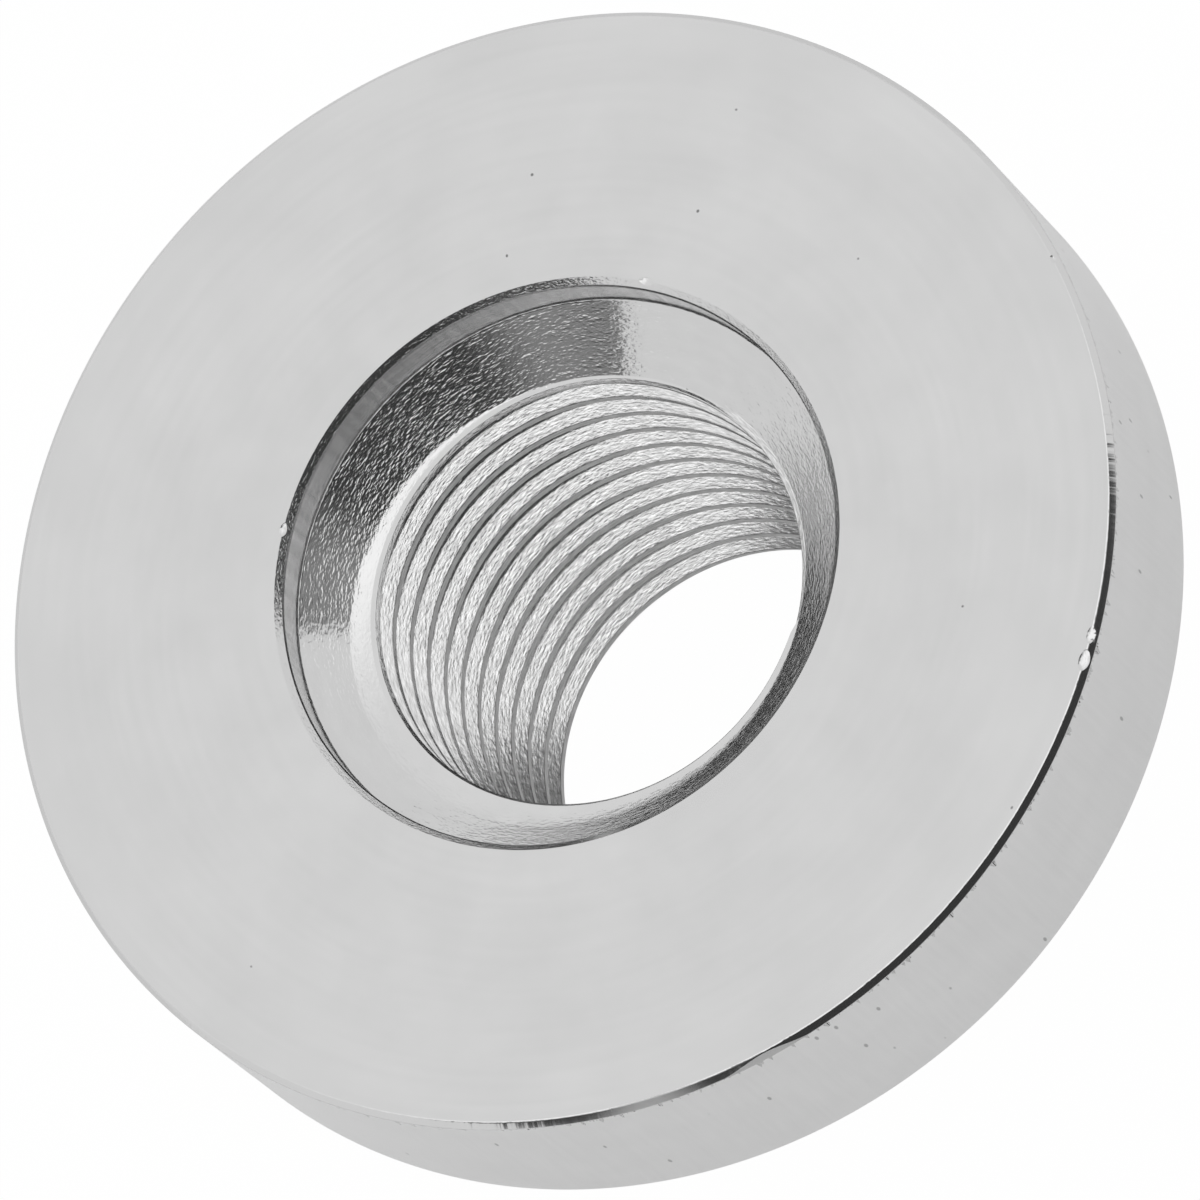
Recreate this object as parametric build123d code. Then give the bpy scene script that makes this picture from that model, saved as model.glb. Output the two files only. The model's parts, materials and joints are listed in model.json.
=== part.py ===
from build123d import *
import math
import os

os.makedirs("parts", exist_ok=True)

# Hex weld nut for an M16 x 1.5 screw: a thick round weld flange on a hexagon body, one piece of steel.
# The nut stands on its hexagon end with the flange's face up. Z is the axis of the thread, millimetres.

# thread: the hole is left at the tap drill's size, which is the crest of the nut's thread
thread_diameter = 16.0
thread_pitch = 1.5
tap_drill_diameter = thread_diameter - thread_pitch

# weld flange
flange_diameter = 38.0
flange_thickness = 7.0
flange_rim_break = 0.2

# hexagon body, with flats facing +Y and -Y
hex_across_flats = 22.0
hex_height = 13.0
hex_chamfer_angle = 30.0
hex_chamfer_circle_ratio = 0.95
hex_root_radius = 0.6

# recess in the flange's face: a short turned step, then a countersink down to the thread
recess_diameter = 19.0
recess_depth = 1.5
recess_mouth_break = 0.25
countersink_half_angle = 54.0

# thread lead: a narrow, steeper chamfer between the countersink and the thread
thread_lead_width = 0.43
thread_lead_half_angle = 37.0

# thread chamfer at the hexagon end
hole_end_chamfer = 0.4

# dependent sizes
nut_height = hex_height + flange_thickness
hex_corner_radius = hex_across_flats / 2 / math.cos(math.radians(30))
hex_chamfer_circle_radius = hex_chamfer_circle_ratio * hex_across_flats / 2
hex_chamfer_height = (hex_corner_radius - hex_chamfer_circle_radius) * math.tan(math.radians(hex_chamfer_angle))
tap_drill_radius = tap_drill_diameter / 2
recess_radius = recess_diameter / 2
recess_floor = nut_height - recess_depth
thread_lead_radius = tap_drill_radius + thread_lead_width
thread_lead_depth = thread_lead_width / math.tan(math.radians(thread_lead_half_angle))
countersink_depth = (recess_radius - thread_lead_radius) / math.tan(math.radians(countersink_half_angle))
countersink_floor = recess_floor - countersink_depth
thread_top = countersink_floor - thread_lead_depth


def weld_flange():
    """Round flange above the hexagon, both rims lightly broken."""
    disc = Pos(0, 0, hex_height) * Cylinder(
        flange_diameter / 2,
        flange_thickness,
        align=(Align.CENTER, Align.CENTER, Align.MIN),
    )
    rims = disc.edges().filter_by(GeomType.CIRCLE)
    return chamfer(rims, flange_rim_break)


def hexagon_body():
    """Hexagon prism whose lower corners are turned off at the nut chamfer angle."""
    section = RegularPolygon(hex_across_flats / 2, 6, major_radius=False)
    prism = extrude(section, hex_height)
    turned_profile = make_face(
        Polyline(
            (0, 0),
            (hex_chamfer_circle_radius, 0),
            (hex_corner_radius, hex_chamfer_height),
            (hex_corner_radius, hex_height),
            (0, hex_height),
            close=True,
        )
    )
    turned_blank = revolve(Plane.XZ * turned_profile, Axis.Z)
    return prism & turned_blank


def threaded_hole_cut():
    """Everything bored from the nut on its axis, from the recess in the face down to the hexagon end."""
    mouth_radius = recess_radius + recess_mouth_break
    bored_profile = make_face(
        Polyline(
            (0, nut_height),
            (mouth_radius, nut_height),
            (recess_radius, nut_height - recess_mouth_break),
            (recess_radius, recess_floor),
            (thread_lead_radius, countersink_floor),
            (tap_drill_radius, thread_top),
            (tap_drill_radius, hole_end_chamfer),
            (tap_drill_radius + hole_end_chamfer, 0),
            (0, 0),
            close=True,
        )
    )
    return revolve(Plane.XZ * bored_profile, Axis.Z)


def weld_nut():
    nut = hexagon_body() + weld_flange()
    under_flange = nut.faces().filter_by(Plane.XY).sort_by(Axis.Z)[1]
    root_edges = under_flange.edges().filter_by(GeomType.LINE)
    nut = fillet(root_edges, hex_root_radius)
    return nut - threaded_hole_cut()


export_step(weld_nut(), "parts/nut_body.step")
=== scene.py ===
import json
import math

import bpy
from mathutils import Matrix, Vector


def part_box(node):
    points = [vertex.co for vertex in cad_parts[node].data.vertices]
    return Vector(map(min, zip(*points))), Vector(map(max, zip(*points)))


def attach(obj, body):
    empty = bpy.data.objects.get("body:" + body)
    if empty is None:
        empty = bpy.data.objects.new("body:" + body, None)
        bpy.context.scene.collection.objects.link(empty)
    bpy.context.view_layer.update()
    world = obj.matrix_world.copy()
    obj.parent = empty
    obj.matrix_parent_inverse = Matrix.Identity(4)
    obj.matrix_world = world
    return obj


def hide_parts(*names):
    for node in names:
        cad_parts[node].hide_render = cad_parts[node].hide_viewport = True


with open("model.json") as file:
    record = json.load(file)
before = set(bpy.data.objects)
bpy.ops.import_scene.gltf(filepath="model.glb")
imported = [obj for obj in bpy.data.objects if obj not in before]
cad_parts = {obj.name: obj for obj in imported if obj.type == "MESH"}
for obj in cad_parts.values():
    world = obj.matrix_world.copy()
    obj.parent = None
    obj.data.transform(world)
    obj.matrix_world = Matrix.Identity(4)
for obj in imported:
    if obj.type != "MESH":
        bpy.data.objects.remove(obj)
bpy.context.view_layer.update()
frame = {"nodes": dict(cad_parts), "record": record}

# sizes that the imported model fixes, in metres
low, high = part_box("nut_body")
mounts = {mount["name"]: mount for mount in frame["record"]["mounts"]}
boreMount = mounts["thread"]
recessMount = mounts["recess"]
boreHalfLength = boreMount["dims"]["length_mm"] / 2000
recessHalfLength = recessMount["dims"]["length_mm"] / 2000
nutTop = high.z
flangeRadius = high.x
flangeUnder = mounts["weld_face"]["pos_m"][2]
boreRadius = boreMount["dims"]["r_mm"] / 1000
boreEnd = boreMount["pos_m"][2] - boreHalfLength
recessRadius = recessMount["dims"]["r_mm"] / 1000
recessFloor = recessMount["pos_m"][2] - recessHalfLength
mouthBreak = nutTop - (recessMount["pos_m"][2] + recessHalfLength)
hexagonPoints = [v.co for v in frame["nodes"]["nut_body"].data.vertices if v.co.z < flangeUnder / 2]
hexagonFlat = max(point.y for point in hexagonPoints)          # flats face +Y and -Y
print("frame loaded: flange radius", round(flangeRadius, 5), "hexagon flat", round(hexagonFlat, 5))

inDegrees = 180 / math.pi
inMicrometres = 1e6
tolerance = 1e-6                                # metres, the least distance that Blender's merge takes


# camera

cameraSet = {
    "elevation": 60.796,        # degrees above the horizon, from the -Y side
    "roll": 47.926,             # degrees clockwise
    "distance": 0.40075,
    "lens": 374.58,             # millimetres on a 36 mm sensor
    "sensor": 36.0,
    "clipStart": 0.01,
    "clipEnd": 10.0,
    "aim": (0.000055, -0.001675, -0.000936),    # from the centre of the flange's face
}


def placeCamera():
    aim = Vector((0, 0, nutTop)) + Vector(cameraSet["aim"])
    tilt = Matrix.Rotation(math.radians(90 - cameraSet["elevation"]), 4, "X")
    roll = Matrix.Rotation(-math.radians(cameraSet["roll"]), 4, "Z")
    bpy.ops.object.camera_add()
    camera = bpy.context.object
    camera.name = "photoCamera"
    back = Matrix.Translation((0, 0, cameraSet["distance"]))
    camera.matrix_world = Matrix.Translation(aim) @ tilt @ roll @ back
    camera.data.lens = cameraSet["lens"]
    camera.data.sensor_width = cameraSet["sensor"]
    camera.data.clip_start = cameraSet["clipStart"]
    camera.data.clip_end = cameraSet["clipEnd"]
    bpy.context.scene.camera = camera
    print("camera placed at", [round(x, 4) for x in camera.matrix_world.translation])


# shader sums

class Wire:                                     # one output socket, so that shader sums read as sums
    def __init__(self, bench, socket):
        self.bench = bench
        self.socket = socket

    def maths(self, operation, first, second=0.0):
        return self.bench.add("ShaderNodeMath", {"operation": operation}, {0: first, 1: second})

    def __add__(self, other):
        return self.maths("ADD", self, other)

    def __radd__(self, other):
        return self.maths("ADD", other, self)

    def __sub__(self, other):
        return self.maths("SUBTRACT", self, other)

    def __rsub__(self, other):
        return self.maths("SUBTRACT", other, self)

    def __mul__(self, other):
        return self.maths("MULTIPLY", self, other)

    def __rmul__(self, other):
        return self.maths("MULTIPLY", other, self)

    def __truediv__(self, other):
        return self.maths("DIVIDE", self, other)

    def __pow__(self, other):
        return self.maths("POWER", self, other)


class NodeBench:                                # a material's or the world's node tree
    def __init__(self, owner):
        owner.use_nodes = True
        self.tree = owner.node_tree
        self.tree.nodes.clear()

    def add(self, kind, settings=None, inputs=None, output=0):
        node = self.tree.nodes.new(kind)
        for name, value in (settings or {}).items():
            setattr(node, name, value)
        for key, value in (inputs or {}).items():
            if isinstance(value, Wire):
                self.tree.links.new(value.socket, node.inputs[key])
            else:
                node.inputs[key].default_value = value
        return Wire(self, node.outputs[output]) if node.outputs else None

    def blend(self, value, start, end):         # 0 below start, 1 above end, smooth between
        return self.add(
            "ShaderNodeMapRange",
            {"interpolation_type": "SMOOTHSTEP"},
            {"Value": value, "From Min": start, "From Max": end, "To Min": 0.0, "To Max": 1.0},
        )


# light: a white tent, open on the camera's side, over a white floor

# elevations are in degrees above the horizon and azimuths in degrees from -Y; a span is where one light
# goes over into the next
tentSet = {
    "openingHalfWidth": 72.0,       # azimuth, near its foot
    "openingFlareLeft": 0.70,       # how far it widens on the -X side, for each degree of height
    "openingFlareRight": 0.23,
    "flareSpan": (-0.1, 0.1),       # of X, from the one flare to the other
    "flareFoot": 18.6,
    "openingLow": 16.0,
    "openingHigh": 54.5,
    "openingArch": 12.0,            # how far its top has fallen at the arch's azimuth
    "archAzimuth": 80.0,
    "openingEdge": 2.0,
    "openingLight": 0.045,
    "cornerLight": 0.22,            # more light comes through its upper corners
    "cornerAzimuths": (30.0, 60.0),
    "cornerElevations": (28.0, 38.0),
    "farLight": 0.86,
    "nearLight": 1.2,
    "nearSpan": (-0.35, 0.25),      # of -Y
    "topLight": 0.9,
    "topSpan": (66.0, 78.0),
    "sideLight": 0.8,
    "sideSpan": (53.0, 61.0),
}

floorSet = {
    "size": 6.0,
    "paint": 0.88,
    "cameraGlow": 0.99,             # share of plain white that shows in the photo
    "glossyGlow": 0.25,             # and that the plating mirrors
}


def lightTent():
    world = bpy.data.worlds.new("whiteTent")
    bpy.context.scene.world = world
    bench = NodeBench(world)
    direction = bench.add("ShaderNodeTexCoord", output="Generated")
    split = bench.add("ShaderNodeSeparateXYZ", None, {0: direction}).socket.node
    x, y, z = (Wire(bench, socket) for socket in split.outputs)
    elevation = x.maths("ARCSINE", z) * inDegrees
    azimuth = x.maths("ABSOLUTE", x.maths("ARCTAN2", x, -1 * y)) * inDegrees
    edge = tentSet["openingEdge"]
    side = tentSet["openingHalfWidth"]
    foot = tentSet["openingLow"]
    head = tentSet["openingHigh"]
    left = tentSet["openingFlareLeft"]
    flare = bench.blend(x, *tentSet["flareSpan"]) * (tentSet["openingFlareRight"] - left) + left
    overhang = (elevation - tentSet["flareFoot"]) * flare
    arch = (azimuth / tentSet["archAzimuth"]) ** 2 * tentSet["openingArch"]
    opening = (
        (1 - bench.blend(azimuth - overhang, side - edge, side + edge))
        * bench.blend(elevation, foot - edge, foot + edge)
        * (1 - bench.blend(elevation + arch, head - edge, head + edge))
    )
    nearness = bench.blend(-1 * y, *tentSet["nearSpan"])
    upper = nearness * (tentSet["nearLight"] - tentSet["farLight"]) + tentSet["farLight"]
    upper = upper + bench.blend(elevation, *tentSet["topSpan"]) * (tentSet["topLight"] - upper)
    height = bench.blend(elevation + arch, *tentSet["sideSpan"])
    wall = height * (upper - tentSet["sideLight"]) + tentSet["sideLight"]
    corner = bench.blend(azimuth, *tentSet["cornerAzimuths"]) * tentSet["cornerLight"]
    corner = corner * bench.blend(elevation, *tentSet["cornerElevations"])
    light = wall * (1 - opening) + opening * (corner + tentSet["openingLight"])
    seen = bench.add("ShaderNodeLightPath", output="Is Camera Ray")
    strength = seen + light * (1 - seen)
    surface = bench.add("ShaderNodeBackground", None, {"Color": (1, 1, 1, 1), "Strength": strength})
    bench.add("ShaderNodeOutputWorld", None, {"Surface": surface})
    print("tent lit")


def layFloor():
    clearSelection()
    bpy.ops.mesh.primitive_plane_add(size=floorSet["size"], location=(0, 0, low.z))
    floor = bpy.context.object
    floor.name = "floor"
    bpy.ops.object.transform_apply(location=True, rotation=True, scale=True)
    material = bpy.data.materials.new("whiteFloor")
    bench = NodeBench(material)
    paint = floorSet["paint"]
    diffuse = bench.add("ShaderNodeBsdfDiffuse", None, {"Color": (paint, paint, paint, 1)})
    glow = bench.add("ShaderNodeEmission", None, {"Color": (1, 1, 1, 1), "Strength": 1.0})
    camera = bench.add("ShaderNodeLightPath", output="Is Camera Ray")
    glossy = bench.add("ShaderNodeLightPath", output="Is Glossy Ray")
    share = camera * floorSet["cameraGlow"] + glossy * floorSet["glossyGlow"]
    surface = bench.add("ShaderNodeMixShader", None, {0: share, 1: diffuse, 2: glow})
    bench.add("ShaderNodeOutputMaterial", None, {"Surface": surface})
    floor.data.materials.append(material)
    print("floor laid")


# modelling helpers

def clearSelection():
    if bpy.context.object and bpy.context.object.mode != "OBJECT":
        bpy.ops.object.mode_set(mode="OBJECT")
    bpy.ops.object.select_all(action="DESELECT")


def pick(piece):
    clearSelection()
    piece.select_set(True)
    bpy.context.view_layer.objects.active = piece


def markParts(piece, kind, test):               # selects the faces or edges that a test picks, in edit mode
    pick(piece)
    bpy.ops.object.mode_set(mode="EDIT")
    bpy.ops.mesh.select_mode(type=kind)
    bpy.ops.mesh.select_all(action="DESELECT")
    bpy.ops.object.mode_set(mode="OBJECT")
    for part in piece.data.polygons if kind == "FACE" else piece.data.edges:
        part.select = test(part)
    bpy.ops.object.mode_set(mode="EDIT")


def drawProfile(name, points):                  # an open chain of edges in the XZ plane
    clearSelection()
    bpy.ops.mesh.primitive_plane_add(location=(0, 0, 0))
    piece = bpy.context.object
    piece.name = name
    bpy.ops.object.mode_set(mode="EDIT")
    bpy.ops.mesh.select_mode(type="VERT")
    bpy.ops.mesh.merge(type="CENTER")
    startRadius, startHeight = points[0]
    bpy.ops.transform.translate(value=(startRadius, 0, startHeight))
    for (fromRadius, fromHeight), (toRadius, toHeight) in zip(points, points[1:]):
        step = (toRadius - fromRadius, 0, toHeight - fromHeight)
        bpy.ops.mesh.extrude_region_move(TRANSFORM_OT_translate={"value": step})
    bpy.ops.object.mode_set(mode="OBJECT")
    return piece


def closeShell():
    bpy.ops.mesh.select_all(action="SELECT")
    bpy.ops.mesh.remove_doubles(threshold=tolerance)
    bpy.ops.mesh.normals_make_consistent(inside=False)


def turnSolid(name, points, steps):             # a profile from the axis back to the axis, turned about Z
    piece = drawProfile(name, points)
    pick(piece)
    bpy.ops.object.mode_set(mode="EDIT")
    bpy.ops.mesh.select_all(action="SELECT")
    bpy.ops.mesh.spin(steps=steps, angle=2 * math.pi, center=(0, 0, 0), axis=(0, 0, 1))
    closeShell()
    bpy.ops.object.mode_set(mode="OBJECT")
    return piece


def roundCorner(before, corner, after, radius, steps):
    # the points of an arc that rounds a profile's corner
    corner = Vector(corner)
    inward = (Vector(before) - corner).normalized()
    outward = (Vector(after) - corner).normalized()
    half = inward.angle(outward) / 2
    reach = radius / math.tan(half)
    centre = corner + (inward + outward).normalized() * (radius / math.sin(half))
    first = corner + inward * reach - centre
    last = corner + outward * reach - centre
    turn = first.angle(last)
    points = []
    for step in range(steps + 1):
        share = step / steps
        arm = (first * math.sin((1 - share) * turn) + last * math.sin(share * turn)) / math.sin(turn)
        points.append(tuple(centre + arm))
    return points


def roundProfile(points, radii, steps=3):       # radii: {index of a corner: its radius}
    made = []
    for index, point in enumerate(points):
        if index in radii:
            made += roundCorner(points[index - 1], point, points[index + 1], radii[index], steps)
        else:
            made.append(point)
    return made


def resize(piece, factor):
    pick(piece)
    bpy.ops.transform.resize(value=(factor, factor, factor), center_override=(0, 0, 0))
    bpy.ops.object.transform_apply(location=False, rotation=False, scale=True)


def carve(piece, tool, operation):
    pick(piece)
    modifier = piece.modifiers.new(operation.lower(), "BOOLEAN")
    modifier.operation = operation
    modifier.solver = "EXACT"
    modifier.material_mode = "TRANSFER"
    modifier.object = tool
    bpy.ops.object.modifier_apply(modifier=modifier.name)
    bpy.data.objects.remove(tool)


def paint(piece, material, test=None):          # gives a material to all faces, or to those that a test picks
    pick(piece)
    if material.name not in piece.data.materials:
        piece.data.materials.append(material)
    piece.active_material_index = piece.data.materials.find(material.name)
    markParts(piece, "FACE", test or (lambda face: True))
    bpy.ops.object.material_slot_assign()
    bpy.ops.object.mode_set(mode="OBJECT")


# merging and weighting pass over lengths and areas as small as these in metres, so they work on a larger copy
enlargement = 1000


def joinNear(piece, near):                      # merges points that the cuts left almost in one place
    resize(piece, enlargement)
    bpy.ops.object.mode_set(mode="EDIT")
    bpy.ops.mesh.select_all(action="SELECT")
    bpy.ops.mesh.remove_doubles(threshold=near * enlargement)
    bpy.ops.object.mode_set(mode="OBJECT")
    resize(piece, 1 / enlargement)


def shade(piece, angle):                        # smooth, with crisp edges where it turns or changes finish
    pick(piece)
    bpy.ops.object.shade_smooth_by_angle(angle=math.radians(angle))
    bpy.ops.object.mode_set(mode="EDIT")
    for slot in range(len(piece.data.materials)):
        bpy.ops.mesh.select_mode(type="FACE")
        bpy.ops.mesh.select_all(action="DESELECT")
        piece.active_material_index = slot
        bpy.ops.object.material_slot_select()
        bpy.ops.mesh.region_to_loop()
        bpy.ops.mesh.mark_sharp()
    bpy.ops.object.mode_set(mode="OBJECT")
    resize(piece, enlargement)
    modifier = piece.modifiers.new("evenNormals", "WEIGHTED_NORMAL")
    modifier.mode = "FACE_AREA"
    modifier.keep_sharp = True
    bpy.ops.object.modifier_apply(modifier=modifier.name)
    resize(piece, 1 / enlargement)


# finishes: bright zinc plating over turned, cut and forged steel

# "grain" is the relief, "cloud" and "streak" are slow and fine changes of tone, "speck" is small dark marks;
# lengths run round the axis and widths across it, in metres, and depths are in micrometres
faceLook = {
    "colour": 0.728,
    "roughness": 0.13,
    "radius": 0.014,
    "grain": {"length": 0.0008, "width": 0.00012, "depth": 0.2},
    "cloud": {"length": 0.003, "width": 0.0025, "strength": 0.14, "detail": 3.0},
    "streak": {"length": 0.006, "width": 0.0003, "strength": 0.04},
    "speck": {"length": 0.0025, "width": 0.0025, "size": 0.03, "tone": 0.35},
}

sideLook = {
    "colour": 0.805,
    "roughness": 0.15,
    "radius": 0.019,
    "grain": {"length": 0.00025, "width": 0.0012, "depth": 1.0},
    "cloud": {"length": 0.003, "width": 0.002, "strength": 0.08},
    "streak": {"length": 0.00018, "width": 0.003, "strength": 0.06},
    "speck": {"length": 0.0008, "width": 0.0022, "size": 0.09, "tone": 0.55},
    "jag": {"length": 0.00020, "depth": 0.0020, "start": 0.52},
}

breakLook = {
    "colour": 0.74,
    "roughness": 0.12,
    "radius": 0.019,
    "grain": {"length": 0.00030, "width": 0.00010, "depth": 14.0, "detail": 2.0},
    "cloud": {"length": 0.002, "width": 0.001, "strength": 0.05},
    "bite": {"azimuth": -112.0, "halfWidth": 5.5, "rise": 0.00015},
    "scuff": {"azimuth": -124.0, "halfWidth": 8.0, "roughness": 0.45},
}

wallLook = {
    "colour": 0.84,
    "roughness": 0.20,
    "radius": 0.0095,
    "grain": {"length": 0.0016, "width": 0.00007, "depth": 4.0},
    "streak": {"length": 0.0002, "width": 0.003, "strength": 0.45},
}

coneLook = {
    "colour": 0.735,
    "roughness": 0.10,
    "radius": 0.0085,
    "grain": {"length": 0.00020, "width": 0.00011, "depth": 10.0, "detail": 1.5},
    "patch": {"length": 0.0007, "width": 0.0004, "least": 0.75, "start": 0.42, "end": 0.58},
    "cloud": {"length": 0.001, "width": 0.0006, "strength": 0.08},
}

threadLook = {
    "colour": 0.79,
    "roughness": 0.18,
    "radius": 0.0077,
    "grain": {"length": 0.00022, "width": 0.00011, "depth": 10.0, "detail": 2.0},
    "streak": {"length": 0.00040, "width": 0.00007, "strength": 0.9},
    # painted shade: a darker colour on the thread's crests
    "crest": {"start": 0.00727, "end": 0.00730, "tone": 0.85},
}

hexagonLook = {
    "colour": 0.73,
    "roughness": 0.16,
    "radius": 0.012,
    "grain": {"length": 0.0006, "width": 0.0006, "depth": 3.0},
    "cloud": {"length": 0.003, "width": 0.003, "strength": 0.10},
}

# how far each pattern is moved in its texture space, to keep them apart
shiftSet = {"grain": 0.0, "cloud": 10.0, "streak": 30.0, "patch": 50.0, "jag": 70.0}


class AxisPlace:                                # where a shaded point lies about the nut's axis
    def __init__(self, bench):
        self.bench = bench
        place = bench.add("ShaderNodeTexCoord", output="Object")
        split = bench.add("ShaderNodeSeparateXYZ", None, {0: place}).socket.node
        x, y, self.height = (Wire(bench, socket) for socket in split.outputs)
        self.reach = (x * x + y * y) ** 0.5
        self.cosine = x / self.reach
        self.sine = y / self.reach
        self.azimuth = x.maths("ARCTAN2", y, x) * inDegrees

    def space(self, length, across):            # texture space with cells of this length round the axis
        return self.bench.add(
            "ShaderNodeCombineXYZ",
            None,
            {0: self.cosine * length, 1: self.sine * length, 2: across},
        )

    def noise(self, look, key):
        part = look[key]
        across = shiftSet[key]
        if "width" in part:
            across = (self.reach + self.height) * (1 / part["width"]) + across
        space = self.space(look["radius"] / part["length"], across)
        inputs = {"Vector": space, "Scale": 1.0, "Detail": part.get("detail", 1.0), "Roughness": 0.5}
        return self.bench.add("ShaderNodeTexNoise", None, inputs)


def darkSpecks(bench, place, look):             # 1 on small scattered spots
    speck = look["speck"]
    across = (place.reach + place.height) * (1 / speck["width"])
    space = place.space(look["radius"] / speck["length"], across)
    distance = bench.add("ShaderNodeTexVoronoi", None, {"Vector": space, "Scale": 1.0}, "Distance")
    return 1 - bench.blend(distance, speck["size"] * 0.5, speck["size"])


def nearAzimuth(bench, place, mark):            # 1 at a mark's place round the axis, 0 beyond its half width
    away = place.azimuth - mark["azimuth"]
    return 1 - bench.blend(away.maths("ABSOLUTE", away), 0.0, mark["halfWidth"])


def plating(name, look):
    material = bpy.data.materials.new(name)
    bench = NodeBench(material)
    place = AxisPlace(bench)
    tone = look["colour"]
    for key in ("cloud", "streak"):
        if key in look:
            tone = tone * (1 + look[key]["strength"] * (place.noise(look, key) - 0.5))
    if "speck" in look:
        tone = tone * (1 - darkSpecks(bench, place, look) * (1 - look["speck"]["tone"]))
    if "crest" in look:                         # painted shade: the colour is darker on the crests of the thread
        crest = look["crest"]
        below = bench.blend(place.reach, crest["start"], crest["end"])
        tone = tone * (crest["tone"] + below * (1 - crest["tone"]))
    relief = place.noise(look, "grain") * look["grain"]["depth"]
    if "patch" in look:                         # rougher in some places than in others
        patch = look["patch"]
        rough = bench.blend(place.noise(look, "patch"), patch["start"], patch["end"])
        relief = relief * (rough * (1 - patch["least"]) + patch["least"])
    above = (place.height - (nutTop - flangeSet["rimBreak"])) * inMicrometres
    if "jag" in look:                           # the rim's break cuts down into the side here and there
        jag = place.noise(look, "jag") - look["jag"]["start"]
        jag = jag.maths("MAXIMUM", jag, 0.0) * (look["jag"]["depth"] * inMicrometres)
        relief = relief - above.maths("MAXIMUM", jag + above, 0.0)
    if "bite" in look:                          # the side is rolled up over the break, which leans 45 degrees
        rise = nearAzimuth(bench, place, look["bite"]) * (look["bite"]["rise"] * inMicrometres)
        relief = relief + above.maths("MINIMUM", above, rise) * math.sqrt(2)
    roughness = look["roughness"]
    if "scuff" in look:                         # rubbed dull for a short way
        scuff = look["scuff"]
        roughness = roughness + nearAzimuth(bench, place, scuff) * (scuff["roughness"] - roughness)
    normal = bench.add("ShaderNodeBump", None, {"Distance": 1 / inMicrometres, "Height": relief})
    surface = bench.add(
        "ShaderNodeBsdfPrincipled",
        None,
        {"Base Color": tone, "Metallic": 1.0, "Roughness": roughness, "Normal": normal},
    )
    bench.add("ShaderNodeOutputMaterial", None, {"Surface": surface})
    return material


# the nut

# cutting tools reach this far past what they cut
over = 0.001

flangeSet = {
    "steps": 1440,
    "rimBreak": 0.0002,
    "upperRound": 0.00015,
    "lowerRound": 0.00005,
    "breakNormal": 0.95,            # faces whose normals rise less than this are the breaks'
    "sideNormal": 0.2,              # and less than this, the side's
}


def makeFlange(faceFinish, sideFinish, breakFinish):
    cut = flangeSet["rimBreak"]
    points = [
        (0, nutTop),
        (flangeRadius - cut, nutTop),
        (flangeRadius, nutTop - cut),
        (flangeRadius, flangeUnder + cut),
        (flangeRadius - cut, flangeUnder),
        (0, flangeUnder),
    ]
    upper = flangeSet["upperRound"]
    lower = flangeSet["lowerRound"]
    profile = roundProfile(points, {1: upper, 2: lower, 3: lower, 4: lower})
    flange = turnSolid("weldFlange", profile, flangeSet["steps"])
    paint(flange, faceFinish)
    paint(flange, breakFinish, lambda face: abs(face.normal.z) < flangeSet["breakNormal"])
    paint(flange, sideFinish, lambda face: abs(face.normal.z) < flangeSet["sideNormal"])
    return flange


hexagonSet = {
    "turn": 30.0,                   # degrees from a corner to the middle of a flat
    "cornerRound": 0.00025,
    "cornerSteps": 4,
    "rootRadius": 0.0006,
    "rootSteps": 5,
    "overlap": 0.0004,              # how far it reaches into the flange
    "chamferAngle": 30.0,
    "chamferCircle": 0.95,          # of the width across flats
    "blankRatio": 1.2,              # of the radius of the turned blank to that of the corners
    "blankSteps": 360,
}


def makeHexagon(material):
    turn = math.radians(hexagonSet["turn"])
    corner = hexagonFlat / math.cos(turn)
    radius = hexagonSet["rootRadius"]
    top = flangeUnder - radius
    clearSelection()
    bpy.ops.mesh.primitive_cylinder_add(
        vertices=6,
        radius=corner,
        depth=top,
        location=(0, 0, top / 2),
        rotation=(0, 0, turn),
    )
    hexagon = bpy.context.object
    hexagon.name = "hexagon"
    bpy.ops.object.transform_apply(location=True, rotation=True, scale=True)
    isHigh = [vertex.co.z > top / 2 for vertex in hexagon.data.vertices]
    markParts(hexagon, "EDGE", lambda edge: isHigh[edge.vertices[0]] != isHigh[edge.vertices[1]])
    bpy.ops.mesh.bevel(offset=hexagonSet["cornerRound"], segments=hexagonSet["cornerSteps"], affect="EDGES")
    bpy.ops.object.mode_set(mode="OBJECT")
    # fillet up to the flange: the top face rises and widens in steps
    markParts(hexagon, "FACE", lambda face: face.center.z > top - tolerance)
    width = hexagonFlat
    rise = 0.0
    for step in range(1, hexagonSet["rootSteps"] + 1):
        angle = math.pi / 2 * step / hexagonSet["rootSteps"]
        newRise = radius * math.sin(angle)
        newWidth = hexagonFlat + radius * (1 - math.cos(angle))
        bpy.ops.mesh.extrude_region_move(TRANSFORM_OT_translate={"value": (0, 0, newRise - rise)})
        growth = newWidth / width
        bpy.ops.transform.resize(value=(growth, growth, 1), center_override=(0, 0, 0))
        rise = newRise
        width = newWidth
    bpy.ops.mesh.extrude_region_move(TRANSFORM_OT_translate={"value": (0, 0, hexagonSet["overlap"])})
    closeShell()
    bpy.ops.object.mode_set(mode="OBJECT")
    # the turned chamfer on its lower corners
    slope = math.tan(math.radians(hexagonSet["chamferAngle"]))
    circle = hexagonFlat * hexagonSet["chamferCircle"]
    wide = corner * hexagonSet["blankRatio"]
    wideHeight = (corner - circle) * slope + (wide - corner) * slope
    blankTop = flangeUnder + over
    blankPoints = [(0, 0), (circle, 0), (wide, wideHeight), (wide, blankTop), (0, blankTop)]
    blank = turnSolid("hexagonBlank", blankPoints, hexagonSet["blankSteps"])
    carve(hexagon, blank, "INTERSECT")
    paint(hexagon, material)
    return hexagon


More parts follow.
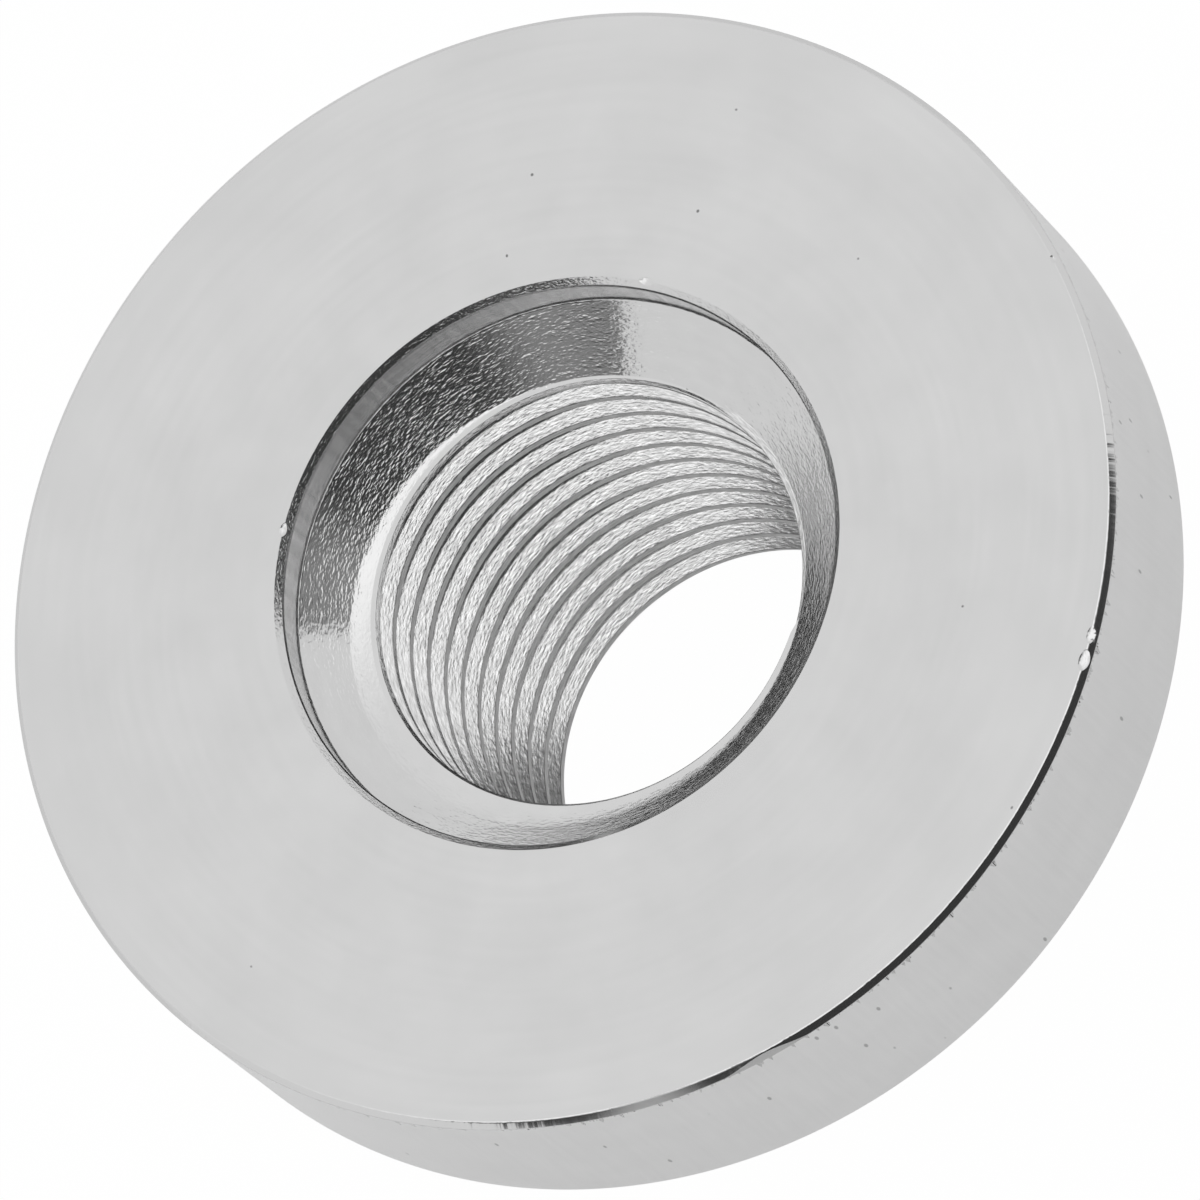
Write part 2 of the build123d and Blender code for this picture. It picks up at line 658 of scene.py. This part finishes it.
boreSet = {
    "steps": 720,
    "wallLean": 2.7,                # degrees by which the recess widens towards its floor
    "coneAngle": 54.0,              # from the axis
    "edgeRound": 0.00003,
    "footRound": 0.00016,
    "inset": 0.0004,                # how far inside the bore the tools go on
    "endPast": 0.0006,              # and the tool for its lower end, above and below
}


def coneHeight(radius):                         # of the countersink
    return recessFloor - (recessRadius - radius) / math.tan(math.radians(boreSet["coneAngle"]))


def makeRecessTool(wallMaterial, coneMaterial, breakMaterial):
    wallHeight = nutTop - mouthBreak - recessFloor
    floorRadius = recessRadius + wallHeight * math.tan(math.radians(boreSet["wallLean"]))
    inside = boreRadius - boreSet["inset"]
    points = [
        (0, nutTop + over),
        (recessRadius + mouthBreak + over, nutTop + over),
        (recessRadius, nutTop - mouthBreak),
        (floorRadius, recessFloor),
        (inside, coneHeight(inside)),
        (0, coneHeight(inside)),
    ]
    profile = roundProfile(points, {2: boreSet["edgeRound"], 3: boreSet["footRound"]})
    tool = turnSolid("recessTool", profile, boreSet["steps"])
    paint(tool, wallMaterial)
    paint(tool, coneMaterial, lambda face: face.center.z < recessFloor + boreSet["footRound"] / 2)
    paint(tool, breakMaterial, lambda face: face.center.z > nutTop - mouthBreak)
    return tool


# the burr that the tap raised round the bore; its radii are those on -Y and +Y
burrSet = {
    "start": 0.00770,
    "top": 0.00751,
    "edge": 0.00735,
    "slope": 22.0,                  # degrees from level, outside
    "level": 4.0,                   # and on top
    "lead": 37.0,                   # degrees from the axis, inside
    "tilt": 1.1,                    # degrees, up towards -X
    "topRound": 0.00006,
    "sunk": 0.0007,                 # how far the ring goes on, out of sight in the nut
}


def makeBurr(coneMaterial, threadMaterial):
    top = burrSet["top"]
    edge = burrSet["edge"]
    slope = math.tan(math.radians(burrSet["slope"]))
    outside = burrSet["start"] + burrSet["sunk"]
    inside = boreRadius - boreSet["inset"]
    # heights here are from the burr's top, about which the ring tilts
    edgeHeight = (edge - top) * math.tan(math.radians(burrSet["level"]))
    insideHeight = edgeHeight - (edge - inside) / math.tan(math.radians(burrSet["lead"]))
    bottom = insideHeight - burrSet["sunk"]
    points = [
        (0, bottom),
        (outside, bottom),
        (outside, (outside - top) * slope),
        (top, 0),
        (edge, edgeHeight),
        (inside, insideHeight),
        (0, insideHeight),
    ]
    profile = roundProfile(points, {3: burrSet["topRound"], 4: boreSet["edgeRound"]})
    ring = turnSolid("burr", profile, boreSet["steps"])
    paint(ring, coneMaterial)
    paint(ring, threadMaterial, lambda face: face.center.z < edgeHeight - boreSet["edgeRound"])
    ring.location.z = coneHeight(burrSet["start"]) - (burrSet["start"] - top) * slope
    ring.rotation_euler.y = math.radians(burrSet["tilt"])
    pick(ring)
    bpy.ops.object.transform_apply(location=True, rotation=True, scale=True)
    return ring


def makeBoreTool(material):                     # clears the bore down to the thread
    top = nutTop + over
    bottom = nutTop - threadSet["runOut"] - over
    points = [(0, top), (boreRadius, top), (boreRadius, bottom), (0, bottom)]
    tool = turnSolid("boreTool", points, boreSet["steps"])
    paint(tool, material)
    return tool


def makeEndTool(material):                      # the chamfer of the bore at the hexagon's end
    past = boreSet["endPast"]
    top = boreEnd + past
    bottom = low.z - past
    points = [(0, top), (boreRadius - past, top), (boreRadius + boreEnd - low.z + past, bottom), (0, bottom)]
    tool = turnSolid("endTool", points, boreSet["steps"])
    paint(tool, material)
    return tool


threadSet = {
    "pitch": 0.0015,
    "rootRadius": 0.0080,
    "flankAngle": 30.0,             # degrees from square to the axis
    "bendRadius": 0.007685,         # where the flanks turn a little steeper, towards the root
    "rootAngle": 38.0,
    "crestFlat": 0.0003,
    "crestHeight": 0.000213,        # height of a crest's middle on +X, less whole turns
    "cornerRound": 0.00005,
    "bendRound": 0.00015,
    "roundSteps": 2,
    "runOut": 0.00296,              # how far below the face the groove begins
    "below": 0.0005,                # how far the tap goes on below the nut
    "cutNear": 1e-7,                # points this near to the tap's ends are on them
    "turnsBelow": 3,
    "turnsAbove": 2,
    "stepsPerTurn": 240,
}


def makeTap(material):
    pitch = threadSet["pitch"]
    bend = threadSet["bendRadius"]
    root = threadSet["rootRadius"]
    flank = (bend - boreRadius) * math.tan(math.radians(threadSet["flankAngle"]))
    steep = (root - bend) * math.tan(math.radians(threadSet["rootAngle"]))
    crest = threadSet["crestFlat"] / 2
    # one pitch, from the middle of a crest to the middle of the next
    corners = [
        (boreRadius, 0),
        (boreRadius, crest),
        (bend, crest + flank),
        (root, crest + flank + steep),
        (root, pitch - crest - flank - steep),
        (bend, pitch - crest - flank),
        (boreRadius, pitch - crest),
        (boreRadius, pitch),
    ]
    radii = {corner: threadSet["cornerRound"] for corner in (1, 3, 4, 6)}
    radii.update({corner: threadSet["bendRound"] for corner in (2, 5)})
    profile = roundProfile(corners, radii, threadSet["roundSteps"])
    bottom = low.z - threadSet["below"]
    top = nutTop - threadSet["runOut"]
    start = threadSet["crestHeight"] - threadSet["turnsBelow"] * pitch
    profile = [(radius, height + start) for radius, height in profile]
    turns = math.ceil((top - start) / pitch) + threadSet["turnsAbove"]
    tap = drawProfile("tap", profile)
    pick(tap)
    screw = tap.modifiers.new("screw", "SCREW")
    screw.angle = 2 * math.pi
    screw.screw_offset = pitch
    screw.iterations = turns
    screw.steps = threadSet["stepsPerTurn"]
    screw.render_steps = threadSet["stepsPerTurn"]
    bpy.ops.object.modifier_apply(modifier=screw.name)
    bpy.ops.object.mode_set(mode="EDIT")
    bpy.ops.mesh.select_all(action="SELECT")
    bpy.ops.mesh.remove_doubles(threshold=tolerance)
    for height, side in ((bottom, -1), (top, 1)):
        bpy.ops.mesh.select_all(action="SELECT")
        bpy.ops.mesh.bisect(
            plane_co=(0, 0, height),
            plane_no=(0, 0, side),
            use_fill=True,
            clear_outer=True,
            threshold=threadSet["cutNear"],
        )
    closeShell()
    bpy.ops.object.mode_set(mode="OBJECT")
    paint(tap, material)
    return tap


# small dents across the edges of the flange's face, as if struck by something round
rimDents = (
    {"azimuth": -59.3, "radius": 0.01886, "tilt": 20.0, "size": 0.0008, "depth": 0.00005},
    {"azimuth": -61.9, "radius": 0.01886, "tilt": 20.0, "size": 0.0009, "depth": 0.00007},
    {"azimuth": -19.0, "radius": 0.01888, "tilt": 22.0, "size": 0.0004, "depth": 0.00004},
    {"azimuth": 27.0, "radius": 0.00970, "tilt": -16.0, "size": 0.0006, "depth": 0.00004},
    {"azimuth": 121.8, "radius": 0.00972, "tilt": -16.0, "size": 0.0005, "depth": 0.00003},
)

dentSet = {
    "depthFrom": 0.00005,           # how far below the face a depth is measured from, on the rounded edge
    "subdivisions": 4,
}


def strikeDent(piece, dent, material):
    turn = math.radians(dent["azimuth"])
    tilt = math.radians(dent["tilt"])           # of the blow, outwards from straight down
    stand = dent["size"] - dent["depth"]
    reach = dent["radius"] + stand * math.sin(tilt)
    height = nutTop - dentSet["depthFrom"] + stand * math.cos(tilt)
    clearSelection()
    bpy.ops.mesh.primitive_ico_sphere_add(
        subdivisions=dentSet["subdivisions"],
        radius=dent["size"],
        location=(reach * math.cos(turn), reach * math.sin(turn), height),
    )
    tool = bpy.context.object
    tool.name = "dentTool"
    bpy.ops.object.transform_apply(location=True, rotation=True, scale=True)
    paint(tool, material)
    carve(piece, tool, "DIFFERENCE")


nutSet = {
    "joinNear": 1e-7,
    "sharpAngle": 30.0,             # edges that turn by more degrees are crisp
}


def makeNut():
    hexFinish = plating("hexagonSides", hexagonLook)
    wall = plating("recessWall", wallLook)
    cone = plating("countersink", coneLook)
    threadFinish = plating("cutThread", threadLook)
    rimFinish = plating("rimBreak", breakLook)
    nut = makeFlange(plating("turnedFace", faceLook), plating("flangeSide", sideLook), rimFinish)
    carve(nut, makeHexagon(hexFinish), "UNION")
    carve(nut, makeRecessTool(wall, cone, rimFinish), "DIFFERENCE")
    carve(nut, makeBurr(cone, threadFinish), "UNION")
    carve(nut, makeBoreTool(threadFinish), "DIFFERENCE")
    for dent in rimDents:
        strikeDent(nut, dent, rimFinish)
    print("recess cut", len(nut.data.polygons))
    carve(nut, makeEndTool(wall), "DIFFERENCE")
    carve(nut, makeTap(threadFinish), "DIFFERENCE")
    joinNear(nut, nutSet["joinNear"])
    triangles = sum(len(face.vertices) - 2 for face in nut.data.polygons)
    print("thread cut", len(nut.data.polygons), "faces", triangles, "triangles")
    nut.name = "weldNut"
    shade(nut, nutSet["sharpAngle"])
    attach(nut, "root")
    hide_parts("nut_body")


placeCamera()
lightTent()
layFloor()
makeNut()

bpy.context.scene.view_settings.view_transform = "Standard"
